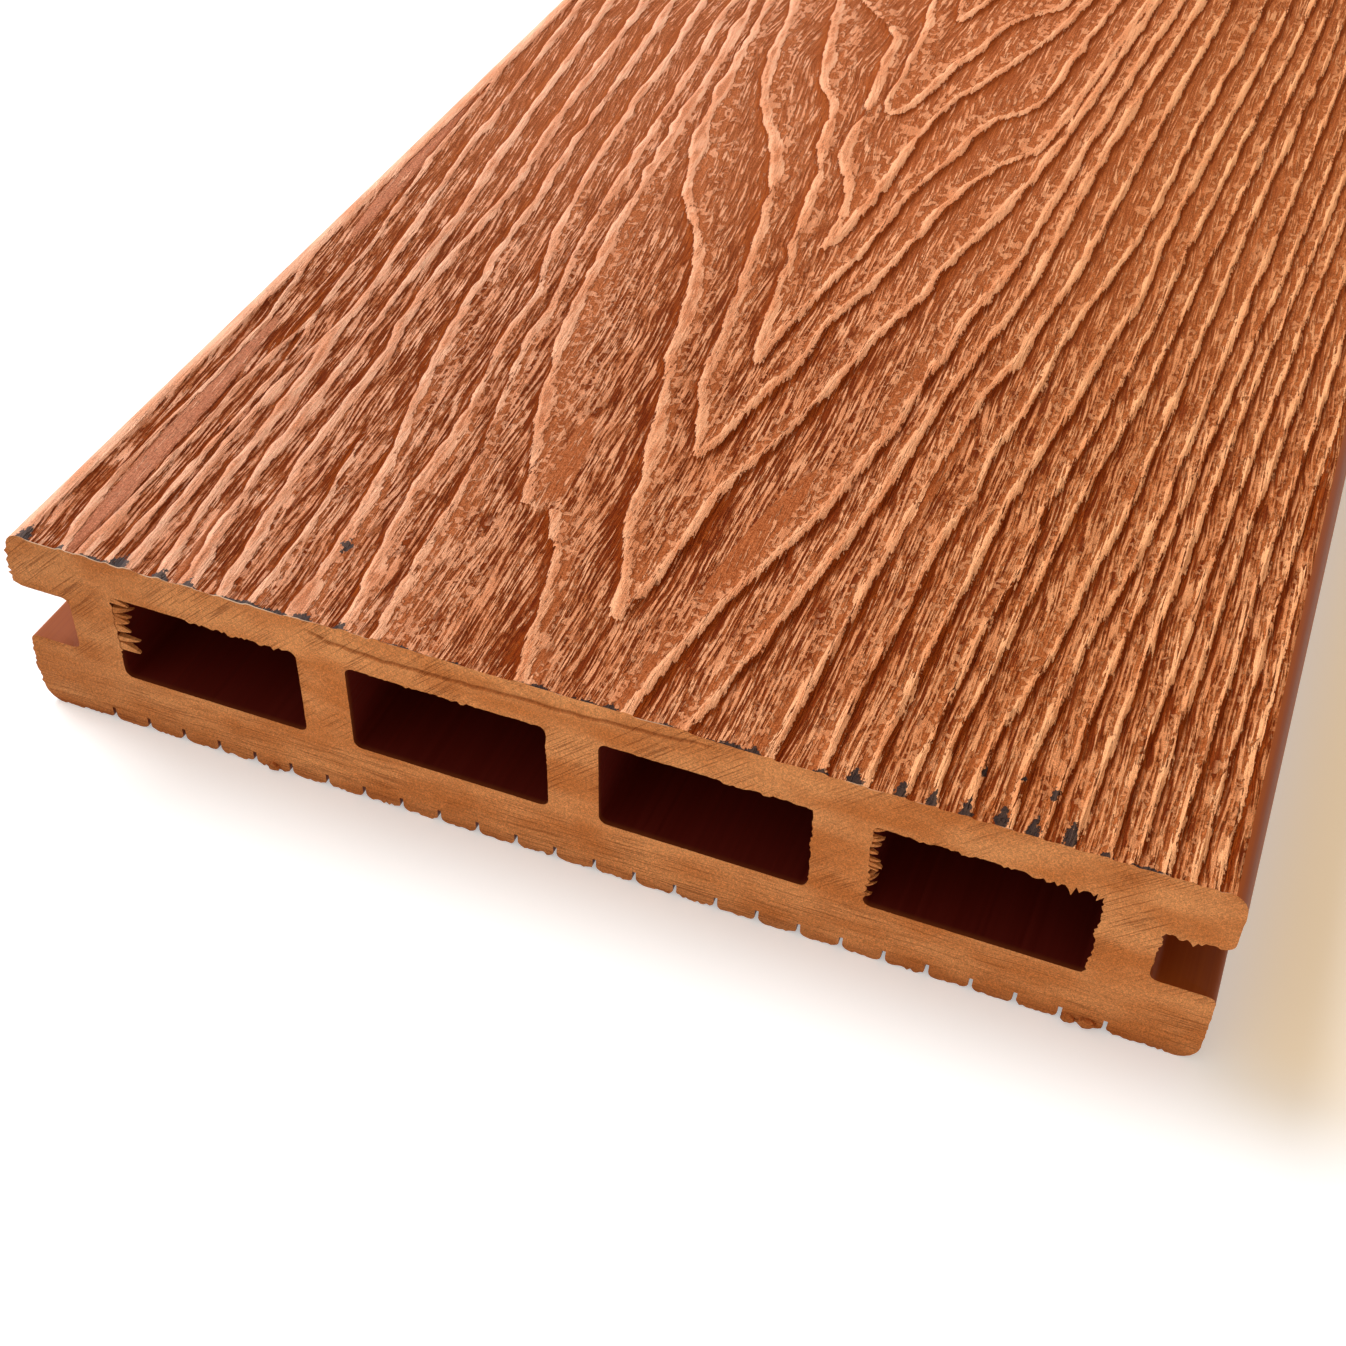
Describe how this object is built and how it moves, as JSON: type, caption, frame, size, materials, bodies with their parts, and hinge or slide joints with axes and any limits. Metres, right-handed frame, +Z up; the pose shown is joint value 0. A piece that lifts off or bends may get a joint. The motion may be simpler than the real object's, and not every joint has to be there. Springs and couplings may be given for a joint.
{
  "type": "hollow composite decking board",
  "caption": "Hollow wood-plastic composite decking board with an embossed wood-grain top, clip grooves along the edges and a finely combed underside.",
  "frame": {"origin": "middle of the board's underside, half way along its length", "axes": "+X across the width to the right of someone facing the pictured sawn end, +Y along the length away from that end, +Z up out of the embossed face"},
  "size_m": [0.14, 2.2, 0.026],
  "materials": {
    "composite": "matte"
  },
  "bodies": {
    "root": {"decking_board": "composite"}
  },
  "joints": []
}
